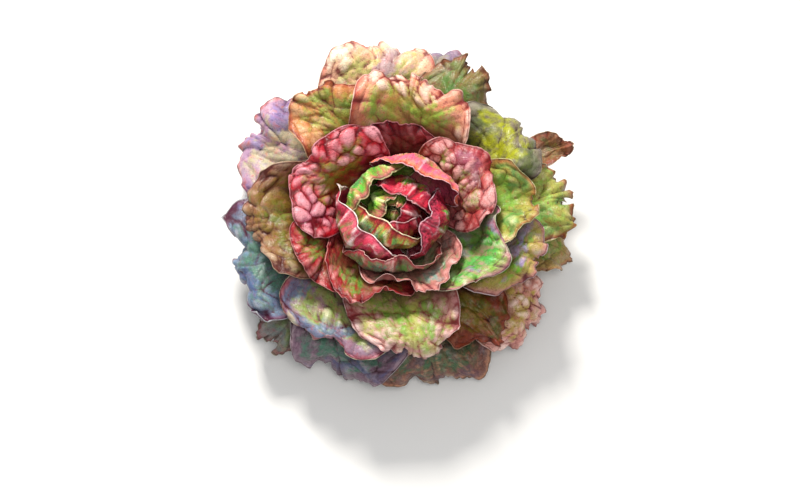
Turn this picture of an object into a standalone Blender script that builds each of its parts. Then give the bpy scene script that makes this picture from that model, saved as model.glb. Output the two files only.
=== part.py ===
"""A head of merveille des quatre saisons, the red-tinged butterhead lettuce, cut and set on its stem.

The head is built the way it grows. A short stem, cut flat below, carries its leaves in tiers: big
spreading leaves lowest on the stem, then shorter ones that stand up and roll their rims outwards,
then the leaves that wrap the heart, and a tight bud of small leaves on the stem's tip.

Every leaf grows along a growth curve, a path in a half plane through the head's axis. The growth
curves of all layers fan out without ever crossing, so leaves of different layers never cross either.
The head stands on the cut face of the stem, in the plane z = 0, with the stem's axis at the origin.
"""

import math
from dataclasses import dataclass

import bmesh
import bpy
import numpy as np

MM = 0.001

# Stem, in millimetres: the radius at the cut, the height of its tip and its radius there
STEM_FOOT_RADIUS = 21.0
STEM_TIP_RADIUS = 5.0
STEM_TIP_HEIGHT = 57.0
STEM_CHAMFER = 1.2
STEM_SIDES = 28

# Leaves, in millimetres
BLADE_THICKNESS = 1.0
RIB_DEPTH = 1.6
RIB_WIDTH = 7.0
BASE_HALF_WIDTH = 7.5
JOINT_GAP = 0.45

# The whole head leans a little to the front, its back leaves stand higher, and it sways unevenly
LEAN = 0.27
LEAN_HEIGHT = 90.0
BACK_LIFT = 20.0
SPREAD_RADIUS = 150.0
SWAY = 5.0
SWAY_LENGTH = 85.0

# Growth curves as (radius, height) control points in millimetres, from the bud out to the lowest leaf
GROWTH = np.array(
    [
        [(5, 56), (7, 61), (9, 69), (10, 80), (7, 90), (1, 97)],
        [(9.5, 50), (18, 53), (26, 65), (28, 82), (21, 96), (6, 104)],
        [(12.5, 43), (28, 45), (43, 59), (49, 80), (44, 102), (16, 112)],
        [(15, 35), (35, 37), (57, 53), (67, 80), (65, 104), (62, 117)],
        [(17.5, 27), (40, 28), (67, 46), (86, 76), (96, 104), (109, 108)],
        [(19.5, 18), (45, 21), (76, 34), (102, 60), (127, 80), (146, 68)],
        [(21, 9), (46, 10), (78, 17), (110, 34), (138, 42), (158, 24)],
    ],
    float,
)

# Waves that run on from leaf to leaf, so that the leaves nest in each other
NESTING = 0.026


@dataclass
class Leaf:
    """One leaf. Angles are in degrees, anticlockwise seen from above, with 270 at the front."""

    name: str
    azimuth: float
    layer: float  # 0 at the bud, 1 at the lowest leaf
    reach: float  # the share of its growth curve that it covers
    half_width: float  # millimetres, where it is broadest
    lip: float = 60.0  # how far the rim rolls outwards; negative folds it in over the heart
    skew: float = 0.0  # how far the tip is swept round from the base
    tilt: float = 0.0  # layers by which the anticlockwise side lies further out
    ruffle: float = 4.0  # millimetres, at the rim
    waves: int = 5
    corner: float = 0.13  # how far the corners of the tip fall short of its middle
    bend: float = 0.68  # the share of the length at which the rim starts to roll


OUTER_LEAVES = (
    Leaf("outer_leaf_01", 3, 0.86, 1.04, 42, lip=30, ruffle=6.5),
    Leaf("outer_leaf_02", 21, 0.945, 1.03, 18, lip=-60, ruffle=5),
    Leaf("outer_leaf_03", 63, 0.865, 0.97, 38, lip=40, ruffle=6.5),
    Leaf("outer_leaf_04", 80, 0.985, 1.03, 44, lip=50, ruffle=5),
    Leaf("outer_leaf_05", 98, 0.915, 1.06, 54, lip=40, ruffle=5),
    Leaf("outer_leaf_06", 150, 0.96, 1.01, 58, lip=70, ruffle=6.5),
    Leaf("outer_leaf_07", 202, 0.885, 1.06, 58, lip=60, ruffle=6.5),
    Leaf("outer_leaf_08", 227, 0.985, 1.04, 34, lip=20, ruffle=6.5),
    Leaf("outer_leaf_09", 250, 0.93, 1.14, 54, lip=40, ruffle=5),
    Leaf("outer_leaf_10", 283, 0.98, 1.13, 56, lip=50, ruffle=5),
    Leaf("outer_leaf_11", 317, 0.925, 1.12, 44, lip=40, ruffle=6.5),
    Leaf("outer_leaf_12", 346, 0.985, 1.03, 36, lip=20, ruffle=5),
)
MIDDLE_LEAVES = (
    Leaf("middle_leaf_1", 2, 0.68, 0.95, 44, lip=60, ruffle=6),
    Leaf("middle_leaf_2", 34, 0.785, 1.00, 50, lip=110, ruffle=4.5, bend=0.66),
    Leaf("middle_leaf_3", 82, 0.67, 0.99, 54, lip=100, ruffle=4.5, bend=0.52),
    Leaf("middle_leaf_4", 123, 0.79, 0.885, 44, lip=60, ruffle=4),
    Leaf("middle_leaf_5", 186, 0.725, 1.01, 56, lip=80, ruffle=1.5, bend=0.54),
    Leaf("middle_leaf_6", 242, 0.785, 1.01, 56, lip=80, ruffle=4, bend=0.68),
    Leaf("middle_leaf_7", 275, 0.71, 1.02, 50, lip=85, ruffle=4.5, bend=0.56),
    Leaf("middle_leaf_8", 305, 0.855, 0.92, 44, lip=40, ruffle=6),
    Leaf("middle_leaf_9", 338, 0.75, 0.96, 44, lip=70, ruffle=6),
)
RING_LEAVES = (
    Leaf("ring_leaf_1", 22, 0.465, 0.98, 45, lip=160, skew=6, ruffle=3, bend=0.55),
    Leaf("ring_leaf_2", 84, 0.57, 0.69, 50, lip=30, skew=6, ruffle=4),
    Leaf("ring_leaf_3", 147, 0.47, 1.0, 52, lip=155, skew=6, ruffle=2.5, bend=0.5),
    Leaf("ring_leaf_4", 204, 0.605, 0.80, 46, lip=70, skew=6, ruffle=2.5),
    Leaf("ring_leaf_5", 242, 0.55, 0.83, 50, lip=50, skew=6, ruffle=4),
    Leaf("ring_leaf_6", 282, 0.495, 0.83, 48, lip=50, skew=6, ruffle=4),
    Leaf("ring_leaf_7", 325, 0.605, 0.90, 49, lip=80, skew=6, ruffle=3),
)
HEART_LEAVES = (
    Leaf("heart_leaf_1", 217, 0.40, 0.98, 56, lip=-35, tilt=-0.02, ruffle=1.5, corner=0.32),
    Leaf("heart_leaf_2", 60, 0.42, 0.97, 52, lip=-35, tilt=-0.02, ruffle=1.5, corner=0.30),
    Leaf("heart_leaf_3", 334, 0.345, 0.92, 40, lip=-20, tilt=-0.02, ruffle=1.5, corner=0.25),
    Leaf("heart_leaf_4", 132, 0.33, 0.88, 50, lip=-15, tilt=-0.02, ruffle=1.2, corner=0.25),
    Leaf("heart_leaf_5", 233, 0.27, 0.96, 46, lip=-10, tilt=-0.02, ruffle=1, corner=0.35),
    Leaf("heart_leaf_6", 52, 0.24, 0.96, 42, lip=-10, tilt=-0.02, ruffle=0.7, corner=0.3),
    Leaf("heart_leaf_7", 266, 0.435, 0.90, 48, lip=-30, ruffle=2, corner=0.2),
)
BUD_LEAVES = (
    Leaf("bud_leaf_1", 272, 0.20, 0.95, 30, lip=0, tilt=-0.02, ruffle=0.5, corner=0.28),
    Leaf("bud_leaf_2", 150, 0.155, 0.95, 28, lip=-10, ruffle=1, corner=0.3),
    Leaf("bud_leaf_3", 340, 0.11, 0.98, 22, lip=-15, ruffle=1, corner=0.3),
    Leaf("bud_leaf_4", 80, 0.065, 1.0, 16, lip=-5, ruffle=0.5, corner=0.3),
    Leaf("bud_leaf_5", 250, 0.015, 1.0, 13, lip=0, ruffle=0.3, corner=0.35),
)

# Rows along a leaf and columns across it, and how much finer its shape is worked out
LARGE_GRID = (10, 10)
SMALL_GRID = (8, 8)
OVERSAMPLE = 4
SOFTENING = 10
ROW_CROWDING = 0.75

# Outline of a blade, as shares of its length and half width
BROADEST = 0.60


def smooth(x):
    """Rises from 0 to 1 with no slope at either end."""
    x = np.clip(x, 0.0, 1.0)
    return x * x * (3.0 - 2.0 * x)


def growth_point(layer, u):
    """Radius and height on the growth curve of a layer, at share u of the way from stem to tip."""
    steps = len(GROWTH) - 1
    at = layer * steps
    below = np.clip(at.astype(int), 0, steps - 1)
    share = (at - below)[..., None, None]
    curve = GROWTH[below] * (1.0 - share) + GROWTH[below + 1] * share
    degree = curve.shape[-2] - 1
    point = 0.0
    for k in range(degree + 1):
        weight = math.comb(degree, k) * u**k * (1.0 - u) ** (degree - k)
        point = point + weight[..., None] * curve[..., k, :]
    return point[..., 0], point[..., 1]


def half_width_share(s):
    """Half width of a blade at share s of its length, from a narrow base to a round tip."""
    widening = smooth((s / BROADEST) ** 0.8)
    rounding = np.sqrt(np.clip(1.0 - ((s - BROADEST) / (1.0 - BROADEST)) ** 2, 0.0, 1.0))
    return np.where(s < BROADEST, widening, rounding)


def surface_normals(points):
    """Unit normals of a grid of points, towards the upper, inner face of the leaf."""
    along = np.gradient(points, axis=0)
    across = np.gradient(points, axis=1)
    normals = np.cross(along, across)
    return normals / np.linalg.norm(normals, axis=2, keepdims=True)


def lean(z):
    """How far the head leans to the front at a height."""
    return LEAN * z * smooth(z / LEAN_HEIGHT)


def head_posture(points):
    """Leans the head to the front and lifts the leaves at its back, without folding space over."""
    x, y, z = points[..., 0], points[..., 1], points[..., 2]
    wave = 2.0 * np.pi / SWAY_LENGTH
    amount = SWAY * smooth((np.hypot(x, y) - 30.0) / 60.0)
    x = x + amount * np.sin(wave * y + 0.6) * np.cos(wave * 0.7 * z)
    y = y + amount * np.sin(wave * x * 0.9 + 2.1) * np.cos(wave * 0.7 * z + 1.0)
    z = z + amount * np.sin(wave * x + 4.0) * np.sin(wave * y * 1.1 + 1.0)
    back = np.clip(y / SPREAD_RADIUS, 0.0, None)
    lifted = z + BACK_LIFT * back * back
    leaned = y - lean(z)
    return np.stack([x, leaned, lifted], axis=-1)


def soften(points, rounds):
    """Eases folds that are too tight for the blade's grid."""
    for _ in range(rounds):
        points[1:-1] = (points[:-2] + 2.0 * points[1:-1] + points[2:]) / 4.0
        points[:, 1:-1] = (points[:, :-2] + 2.0 * points[:, 1:-1] + points[:, 2:]) / 4.0
    return points


def leaf_surface(leaf, index, grid):
    """Points of a leaf's mid surface, base to tip and side to side, and its normals there."""
    rows, columns = grid[0] * OVERSAMPLE, grid[1] * OVERSAMPLE
    a = np.linspace(0.0, 1.0, rows + 1)[:, None] ** ROW_CROWDING * np.ones((1, columns + 1))
    b = np.linspace(-1.0, 1.0, columns + 1)[None, :] * np.ones((rows + 1, 1))

    phase = 2.4 * index
    s = a - leaf.corner * a**3 * b**2
    side = a - leaf.corner * a**3
    share = half_width_share(side)
    across = b * (BASE_HALF_WIDTH + (leaf.half_width - BASE_HALF_WIDTH) * share)
    around = np.arctan2(across / leaf.half_width, s - BROADEST)
    u = leaf.reach * s * (1.0 + 0.03 * a**2 * np.sin(4.0 * around + phase))

    rise = smooth(a)
    layer = leaf.layer + leaf.tilt * b * rise
    radius, height = growth_point(layer, u)
    angle = np.radians(leaf.azimuth + leaf.skew * s) + across / np.maximum(radius, 8.0)
    nested = np.sin(8.0 * angle + 10.0 * layer) + 0.45 * np.sin(13.0 * angle - 8.0 * layer)
    amount = NESTING * smooth(leaf.layer / 0.6) * smooth((u - 0.35) / 0.5)
    radius, height = growth_point(layer + amount * nested, u)

    # The rim rolls by turning each further step of the growth curve
    middle = 0.5 * (s[1:] + s[:-1])
    rolled = np.clip((middle - leaf.bend) / (1.0 - leaf.bend), 0.0, 1.0)
    turn = np.radians(leaf.lip) * rolled**1.3
    step_r, step_z = np.diff(radius, axis=0), np.diff(height, axis=0)
    radius[1:] = radius[0] + np.cumsum(step_r * np.cos(turn) + step_z * np.sin(turn), axis=0)
    height[1:] = height[0] + np.cumsum(step_z * np.cos(turn) - step_r * np.sin(turn), axis=0)

    points = np.stack([radius * np.cos(angle), radius * np.sin(angle), height], axis=-1)
    rim = 1.0 - (1.0 - a**4) * (1.0 - np.abs(b) ** 3 * rise)
    wave = np.sin(leaf.waves * around + phase) + 0.4 * np.sin((leaf.waves + 3) * around - phase)
    points = points + surface_normals(points) * (leaf.ruffle * rim * wave)[..., None]
    points = soften(head_posture(points), SOFTENING)
    every = slice(None, None, OVERSAMPLE)
    return points[every, every], surface_normals(points)[every, every]


def blade_solid(points, normals, half_width):
    """Vertices and triangles of a closed blade about a mid surface, with its midrib on the back."""
    rows, columns = points.shape[0] - 1, points.shape[1] - 1
    a = np.linspace(0.0, 1.0, rows + 1)[:, None] ** ROW_CROWDING
    across = np.linspace(-half_width, half_width, columns + 1)[None, :]
    rib = RIB_DEPTH * (1.0 - a) ** 1.3 * np.exp(-((across / RIB_WIDTH) ** 2))
    upper = points + normals * BLADE_THICKNESS / 2
    lower = points - normals * (BLADE_THICKNESS / 2 + rib)[..., None]
    vertices = np.concatenate([upper.reshape(-1, 3), lower.reshape(-1, 3)])

    count = (rows + 1) * (columns + 1)
    number = np.arange(count).reshape(rows + 1, columns + 1)
    faces = []
    for i in range(rows):
        for j in range(columns):
            p, q = number[i, j], number[i + 1, j]
            r, t = number[i + 1, j + 1], number[i, j + 1]
            triangles = ((p, q, r), (p, r, t)) if (j < columns / 2) else ((p, q, t), (q, r, t))
            faces += [tuple(map(int, f)) for f in triangles]
            faces += [tuple(int(v) + count for v in reversed(f)) for f in triangles]
    edge = [*number[0, :], *number[1:, -1], *number[-1, -2::-1], *number[-2:0:-1, 0]]
    for v, w in zip(edge, edge[1:] + edge[:1]):
        v, w = int(v), int(w)
        faces += [(v, w, w + count), (v, w + count, v + count)]
    return vertices, faces


def stem_radius(height):
    """Radius of the stem at a height: a plain cone above the chamfered cut."""
    share = np.clip(height / STEM_TIP_HEIGHT, 0.0, 1.0)
    return STEM_FOOT_RADIUS + (STEM_TIP_RADIUS - STEM_FOOT_RADIUS) * share**1.1


def seat_on_stem(vertices, columns):
    """Brings the base edge of a blade to the stem's side, a small gap clear of it."""
    half = len(vertices) // 2
    for start in (0, half):
        base = vertices[start : start + columns + 1]
        shift = lean(base[:, 2])
        flat = np.stack([base[:, 0], base[:, 1] + shift], axis=1)
        out = flat / np.linalg.norm(flat, axis=1, keepdims=True)
        seat = out * (stem_radius(base[:, 2]) + JOINT_GAP)[:, None]
        base[:, 0] = seat[:, 0]
        base[:, 1] = seat[:, 1] - shift


def material(name, colour, roughness):
    """A plain material of a part's own colour."""
    made = bpy.data.materials.new(name)
    made.use_nodes = True
    shader = made.node_tree.nodes["Principled BSDF"]
    shader.inputs["Base Color"].default_value = (*colour, 1.0)
    shader.inputs["Roughness"].default_value = roughness
    return made


def mesh_object(name, vertices, faces, finish, collection=None):
    """An object from points in millimetres, with its faces turned to point out."""
    mesh = bpy.data.meshes.new(name)
    mesh.from_pydata([tuple(v) for v in np.asarray(vertices) * MM], [], faces)
    work = bmesh.new()
    work.from_mesh(mesh)
    bmesh.ops.recalc_face_normals(work, faces=work.faces)
    work.to_mesh(mesh)
    work.free()
    mesh.shade_smooth()
    mesh.materials.append(finish)
    made = bpy.data.objects.new(name, mesh)
    (collection or bpy.context.scene.collection).objects.link(made)
    return made


def make_leaf(leaf, index, grid, finish, collection=None):
    points, normals = leaf_surface(leaf, index, grid)
    vertices, faces = blade_solid(points, normals, leaf.half_width)
    seat_on_stem(vertices, grid[1])
    return mesh_object(leaf.name, vertices, faces, finish, collection)


def make_stem(finish):
    """The stem, turned about its axis: a chamfered flat cut, a tapering side and a domed tip."""
    heights = np.linspace(STEM_CHAMFER, STEM_TIP_HEIGHT, 9)
    profile = [(STEM_FOOT_RADIUS - STEM_CHAMFER, 0.0)]
    profile += [(float(stem_radius(h)), float(h)) for h in heights]
    profile += [(STEM_TIP_RADIUS * 0.6, STEM_TIP_HEIGHT + 1.5)]
    vertices = [(0.0, 0.0, 0.0)]
    for radius, height in profile:
        for k in range(STEM_SIDES):
            angle = 2.0 * math.pi * k / STEM_SIDES
            vertices.append((radius * math.cos(angle), radius * math.sin(angle), height))
    vertices.append((0.0, 0.0, STEM_TIP_HEIGHT + 2.2))
    last = len(vertices) - 1
    rings = len(profile)
    faces = []
    for k in range(STEM_SIDES):
        following = (k + 1) % STEM_SIDES
        faces.append((0, 1 + following, 1 + k))
        for ring in range(rings - 1):
            low, high = 1 + ring * STEM_SIDES, 1 + (ring + 1) * STEM_SIDES
            faces.append((low + k, low + following, high + following, high + k))
        top = 1 + (rings - 1) * STEM_SIDES
        faces.append((top + k, top + following, last))
    vertices = np.array(vertices)
    vertices[:, 1] -= lean(vertices[:, 2])
    return mesh_object("stem", vertices, faces, finish)


def clear_scene():
    for old in list(bpy.data.objects):
        bpy.data.objects.remove(old, do_unlink=True)


def main():
    clear_scene()
    stem_finish = material("stem_flesh", (0.78, 0.76, 0.55), 0.5)
    outer_finish = material("outer_leaf", (0.36, 0.28, 0.20), 0.5)
    middle_finish = material("middle_leaf", (0.42, 0.36, 0.14), 0.5)
    ring_finish = material("ring_leaf", (0.50, 0.12, 0.10), 0.45)
    heart_finish = material("heart_leaf", (0.30, 0.38, 0.10), 0.45)
    make_stem(stem_finish)
    index = 0
    for tier, grid, finish in (
        (OUTER_LEAVES, LARGE_GRID, outer_finish),
        (MIDDLE_LEAVES, LARGE_GRID, middle_finish),
        (RING_LEAVES, LARGE_GRID, ring_finish),
        (HEART_LEAVES, SMALL_GRID, heart_finish),
    ):
        for leaf in tier:
            make_leaf(leaf, index, grid, finish)
            index += 1
    for leaf in BUD_LEAVES:
        make_leaf(leaf, index, SMALL_GRID, heart_finish)
        index += 1


main()
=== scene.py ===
"""The look of a head of merveille des quatre saisons: its fine leaves, their colours and the studio.

Each leaf is grown again here by the same rule as its solid, on a finer grid, and then gets what the
solid is too coarse for: puffed blisters between sunken veins, a frilled and scalloped margin, and a
blade that thins towards it. Four masks written on each leaf say where its margin, its proud places,
its creases and the dusk between leaves are, and the leaf's material mixes the colours of its palette
by them: a painted highlight on the proud places, and painted shade in the creases and in the dusk.
"""

import math
from dataclasses import dataclass

import bpy
import numpy as np
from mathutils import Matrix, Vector
from mathutils.bvhtree import BVHTree


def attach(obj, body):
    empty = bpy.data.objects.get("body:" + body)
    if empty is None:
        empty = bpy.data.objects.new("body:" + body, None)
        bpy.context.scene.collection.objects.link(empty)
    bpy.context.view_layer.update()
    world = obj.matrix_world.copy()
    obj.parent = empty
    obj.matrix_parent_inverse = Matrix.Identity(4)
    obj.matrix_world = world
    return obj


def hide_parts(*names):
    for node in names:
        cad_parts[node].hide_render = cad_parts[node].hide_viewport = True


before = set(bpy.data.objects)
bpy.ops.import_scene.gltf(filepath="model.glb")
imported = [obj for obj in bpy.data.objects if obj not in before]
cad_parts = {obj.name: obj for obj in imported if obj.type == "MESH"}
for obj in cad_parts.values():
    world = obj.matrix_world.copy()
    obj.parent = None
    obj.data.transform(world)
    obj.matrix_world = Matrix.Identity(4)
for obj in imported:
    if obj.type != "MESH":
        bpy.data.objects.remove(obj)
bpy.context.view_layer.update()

MM = 0.001

# Radians by which waves and rays turn from one to the next, so that no two are alike
GOLDEN_TURN = 2.4

# Stem, in millimetres
STEM_FOOT_RADIUS = 21.0
STEM_TIP_RADIUS = 5.0
STEM_TIP_HEIGHT = 57.0
STEM_TAPER = 1.1
STEM_CHAMFER = 1.2
STEM_DOME = 1.8
STEM_CENTRE_RADIUS = 0.02
STEM_SIDES = 120
STEM_RINGS = 44
STEM_SHRINKAGE = 0.35
SCAR_DEPTH = 0.3
STEM_RIBS = 24.0
STEM_RIB_DEPTH = 0.12

# Leaves, in millimetres
BLADE_THICKNESS = 1.0
MARGIN_THICKNESS = 0.35
THIN_MARGIN_WIDTH = 12.0
RIB_DEPTH = 1.6
RIB_WIDTH = 7.0
RIB_TAPER = 1.3
SIDE_RIB_DEPTH = 0.7
SIDE_RIB_CLEARANCE = 10.0
BASE_HALF_WIDTH = 7.5
TIGHTEST_RADIUS = 8.0
JOINT_GAP = 0.45

# The whole head leans a little to the front, its back leaves stand higher, and it sways unevenly
LEAN = 0.27
LEAN_HEIGHT = 90.0
BACK_LIFT = 20.0
SPREAD_RADIUS = 150.0
SWAY = 5.0
SWAY_LENGTH = 85.0
SWAY_START = 30.0
SWAY_END = 90.0

# Growth curves as (radius, height) control points in millimetres, from the bud out to the lowest leaf
GROWTH = np.array(
    [
        [(5, 56), (7, 61), (9, 69), (10, 80), (7, 90), (1, 97)],
        [(9.5, 50), (18, 53), (26, 65), (28, 82), (21, 96), (6, 104)],
        [(12.5, 43), (28, 45), (43, 59), (49, 80), (44, 102), (16, 112)],
        [(15, 35), (35, 37), (57, 53), (67, 80), (65, 104), (62, 117)],
        [(17.5, 27), (40, 28), (67, 46), (86, 76), (96, 104), (109, 108)],
        [(19.5, 18), (45, 21), (76, 34), (102, 60), (127, 80), (146, 68)],
        [(21, 9), (46, 10), (78, 17), (110, 34), (138, 42), (158, 24)],
    ],
    float,
)

# Waves that run on from leaf to leaf, so that the leaves nest in each other: the layers by which they
# move a leaf, and for each wave its strength, its count round the head and its radians a layer
NESTING = 0.026
NESTING_WAVES = ((1.0, 8.0, 10.0), (0.45, 13.0, -8.0))

# Cells along and across a blade, and the rounds of softening that its solid has on 40 cells
LARGE_CELLS = (84, 80)
SMALL_CELLS = (60, 56)
SOFTENING = 10
SOLID_CELLS = 40
ROW_CROWDING = 0.75

# Outline of a blade, as shares of its length and half width, and the counts and powers that shape it
BROADEST = 0.60
BASE_WIDENING = 0.8
SCALLOP_DEPTH = 0.03
SCALLOPS = 4.0
LEAST_NOTCH = 0.006
NOTCH_DEPTH = 0.035
NOTCHES = 8.0
NOTCH_FADE = 7
LIP_CURL = 1.3

# Irregular cells, as shares of their size
CELL_JITTER = 0.42
CELL_BEND = 0.5
DOME_WIDTH = 0.8
DOME_ROUNDNESS = 2.2

# Relief, in millimetres, for a leaf of this half width; it is finer on narrower leaves
FULL_HALF_WIDTH = 56.0
QUILT_SIZE = 23.0
QUILT_HEIGHT = 4.4
PLEAT_WIDTH = 34.0
PLEAT_HEIGHT = 4.6
PLEAT_REACH = 24.0
BLISTER_SIZE = 11.5
BLISTER_HEIGHT = 2.6
CLUSTER_SIZE = 26.0
SPOT_SIZE = 17.0
SPOT_HEIGHT = 1.5
PIMPLE_SIZE = 5.0
PIMPLE_HEIGHT = 0.8
CRUMPLE_SIZE = 30.0
CRUMPLE_HEIGHT = 7.0
FRILL_HEIGHT = 3.2
FRILL_REACH = 8.0
FRILLS = 15.0
FOLD_WIDTH = 3.2
FOLD_HEIGHT = 1.2
FOLD_SWING = 7.0
FOLD_SWING_LENGTH = 12.0

# A blade is longer than wide, and its rim longer by this factor than a circle of its half width
RIM_STRETCH = 1.15

# Veins, in millimetres and, for strength and fade, shares; side veins are counted along the blade
VEIN_DEPTH = 0.8
MIDRIB_TIP_WIDTH = 1.0
MIDRIB_WIDENING = 3.0
SIDE_VEINS = 6.5
SIDE_VEIN_STRENGTH = 0.7
SIDE_VEIN_FADE = 0.3
SIDE_VEIN_WIDTH = 1.4
SIDE_VEIN_SLOPE = 0.8
SIDE_VEIN_SWING = 3.0
SIDE_VEIN_SWING_LENGTH = 14.0

# How far the mask of the margin reaches in, in millimetres
MARGIN_GLOW = 13.0

# Seeds of the draws and waves; those of a leaf have its number added
RELIEF_SEED = 400
FRILL_SEED = 50
FOLD_SEED = 70
CELL_BEND_SEEDS = (5, 6)
VEIN_SEED = 9

# The dusk, painted shade between leaves, found with rays to the sky from every fourth grid point;
# lengths in millimetres
SKY_RAYS = 14
SKY_REACH = 45.0
SKY_LIFT = 1.5
SKY_STEP = 4
DUSK_START = 0.18
DUSK_END = 0.62

# Millimetres in one unit of a leaf's flat coordinates, on which its colours are painted
FLAT_UNIT = 100.0

# Camera, in metres and degrees, with its sensor in millimetres
CAMERA_ELEVATION = 70.0
CAMERA_DISTANCE = 1.4
CAMERA_SINK = 0.044
SENSOR_WIDTH = 36.0
VIEW_WIDTH = 0.68
AIM = Vector((0.003, 0.0, 0.055))

# Floor and sky, in metres and linear colours
FLOOR_SIZE = 8.0
FLOOR_DROP = 0.0005
FLOOR_COLOUR = (0.86, 0.85, 0.83, 1.0)
FLOOR_ROUGHNESS = 0.9
SKY_COLOUR = (0.93, 0.96, 1.0, 1.0)
SKY_STRENGTH = 0.42


@dataclass
class Lamp:
    """A square lamp that looks at the head, in metres and watts."""

    name: str
    place: tuple
    power: float
    size: float
    colour: tuple


LAMPS = (
    Lamp("key", (-0.25, 0.85, 1.0), power=24.0, size=0.3, colour=(1.0, 0.97, 0.92)),
    Lamp("fill", (0.12, -0.5, 1.4), power=8.0, size=0.5, colour=(1.0, 0.98, 0.95)),
)


@dataclass
class Leaf:
    """One leaf. Angles are in degrees, anticlockwise seen from above, with 270 at the front."""

    name: str
    azimuth: float
    layer: float  # 0 at the bud, 1 at the lowest leaf
    reach: float  # the share of its growth curve that it covers
    half_width: float  # millimetres, where it is broadest
    palette: str
    pleats: float  # strength of the bulges that run in from the margin
    blisters: float  # strength of the round puffed cells
    lip: float = 60.0  # how far the rim rolls outwards; negative folds it in over the heart
    skew: float = 0.0  # how far the tip is swept round from the base
    tilt: float = 0.0  # layers by which the anticlockwise side lies further out
    ruffle: float = 4.0  # millimetres, at the rim
    corner: float = 0.13  # how far the corners of the tip fall short of its middle
    bend: float = 0.68  # the share of the length at which the rim starts to roll
    pimples: float = 0.3  # strength of the smallest cells
    teeth: float = 0.3  # strength of the notches in the margin
    quilts: float = 1.0  # strength of the wide cushions between the veins
    spots: float = 0.3  # strength of the lone round blisters
    blush: float = 0.55  # how far the flush reaches in from the margin
    outlines: float = 0.5  # strength of the dark lines drawn round the patches
    streaks: float = 0.2  # strength of the strokes of margin colour along the blade
    edging: float = 0.6  # strength of the pale line along the edge
    waves: int = 5  # of the ruffle, round the rim


OUTER_LEAVES = (
    Leaf("outer_leaf_01", 3, 0.86, 1.04, 42, "lime", 0.6, 0.5, lip=30, ruffle=6.5, teeth=1.0),
    Leaf("outer_leaf_02", 21, 0.945, 1.03, 18, "bronze", 0.3, 0.3, lip=-60, ruffle=5, teeth=0.2),
    Leaf("outer_leaf_03", 63, 0.865, 0.97, 38, "olive", 0.6, 0.3, lip=40, ruffle=6.5, teeth=0.9),
    Leaf("outer_leaf_04", 80, 0.985, 1.03, 44, "mauve", 0.8, 0.2, lip=50, ruffle=5, teeth=0.1),
    Leaf("outer_leaf_05", 98, 0.915, 1.06, 54, "peach", 0.6, 0.7, lip=40, ruffle=5, spots=0.7),
    Leaf("outer_leaf_06", 150, 0.96, 1.01, 58, "lilac", 1.1, 0.3, lip=70, ruffle=6.5, teeth=0.1),
    Leaf(
        "outer_leaf_07", 202, 0.885, 1.06, 58, "slate", 0.7, 0.3,
        lip=60, ruffle=6.5, spots=0.6, teeth=0.1,
    ),
    Leaf("outer_leaf_08", 227, 0.985, 1.04, 34, "moss", 0.5, 0.3, lip=20, ruffle=6.5),
    Leaf("outer_leaf_09", 250, 0.93, 1.14, 54, "violet", 0.5, 0.2, lip=40, ruffle=5, spots=0.4, teeth=0.1),
    Leaf("outer_leaf_10", 283, 0.98, 1.13, 56, "dusk", 0.5, 0.5, lip=50, ruffle=5, spots=1.0, teeth=0.1),
    Leaf("outer_leaf_11", 317, 0.925, 1.12, 44, "rose", 0.6, 0.9, lip=40, ruffle=6.5, teeth=0.5),
    Leaf("outer_leaf_12", 346, 0.985, 1.03, 36, "sage", 0.4, 0.3, lip=20, ruffle=5, teeth=0.1),
)
MIDDLE_LEAVES = (
    Leaf("middle_leaf_1", 2, 0.68, 0.95, 44, "fresh", 0.5, 0.5, lip=60, ruffle=6),
    Leaf("middle_leaf_2", 34, 0.785, 1.00, 50, "gold", 1.4, 0.3, lip=110, ruffle=4.5, bend=0.66),
    Leaf(
        "middle_leaf_3", 82, 0.67, 0.99, 54, "salmon", 1.2, 0.9,
        lip=100, ruffle=4.5, bend=0.52, teeth=0.7, spots=0.6,
    ),
    Leaf("middle_leaf_4", 123, 0.79, 0.885, 44, "copper", 0.8, 0.4, lip=60, ruffle=4, spots=0.7),
    Leaf(
        "middle_leaf_5", 186, 0.725, 1.01, 56, "ochre", 1.0, 0.6,
        lip=80, ruffle=1.5, bend=0.54, spots=0.9, teeth=0.1,
    ),
    Leaf(
        "middle_leaf_6", 242, 0.785, 1.01, 56, "storm", 0.5, 0.5,
        lip=80, ruffle=4, bend=0.68, spots=1.0, teeth=0.1,
    ),
    Leaf(
        "middle_leaf_7", 275, 0.71, 1.02, 50, "candy", 1.3, 0.6,
        lip=85, ruffle=4.5, bend=0.56, teeth=0.8, spots=0.6,
    ),
    Leaf("middle_leaf_8", 305, 0.855, 0.92, 44, "shade", 0.6, 0.6, lip=40, ruffle=6),
    Leaf("middle_leaf_9", 338, 0.75, 0.96, 44, "orchid", 0.5, 0.4, lip=70, ruffle=6),
)
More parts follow.
